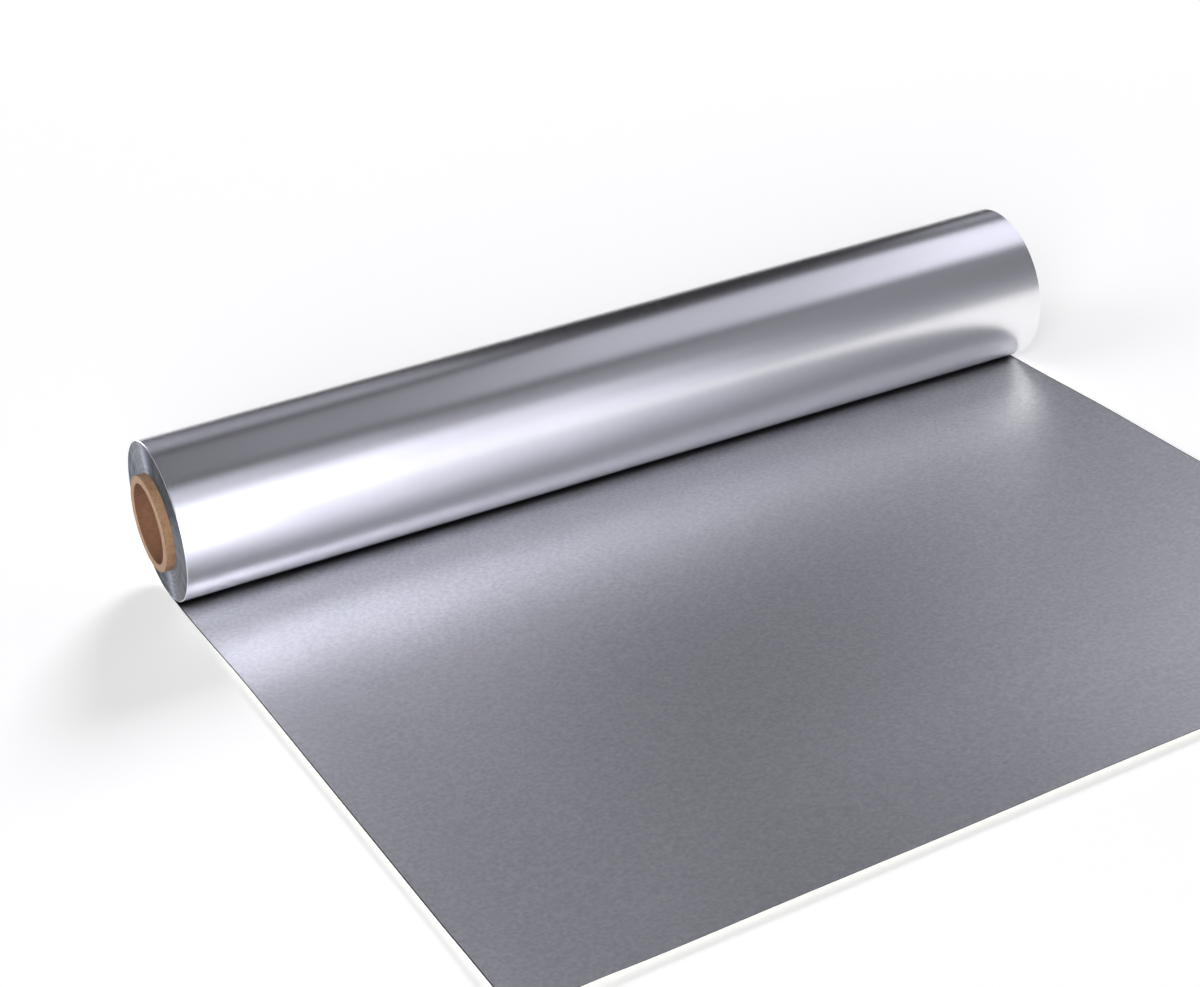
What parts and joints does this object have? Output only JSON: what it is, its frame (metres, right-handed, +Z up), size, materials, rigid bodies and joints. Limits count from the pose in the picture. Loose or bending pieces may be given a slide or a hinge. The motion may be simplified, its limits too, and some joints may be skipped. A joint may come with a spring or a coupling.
{
  "type": "aluminium foil roll",
  "caption": "Catering roll of kitchen foil on a paperboard core, lying down with a length of flat sheet drawn off its underside and cut slightly askew.",
  "frame": {"origin": "on the surface that the roll lies on, in the middle of the flat spot under the roll, half way along it", "axes": "+X along the roll's axis, -Y the way the sheet is drawn off, +Z up"},
  "size_m": [0.4662, 0.41, 0.0761],
  "materials": {
    "foil": "satin",
    "paperboard": "matte"
  },
  "bodies": {
    "root": {"foil": "foil", "core": "paperboard"}
  },
  "joints": []
}
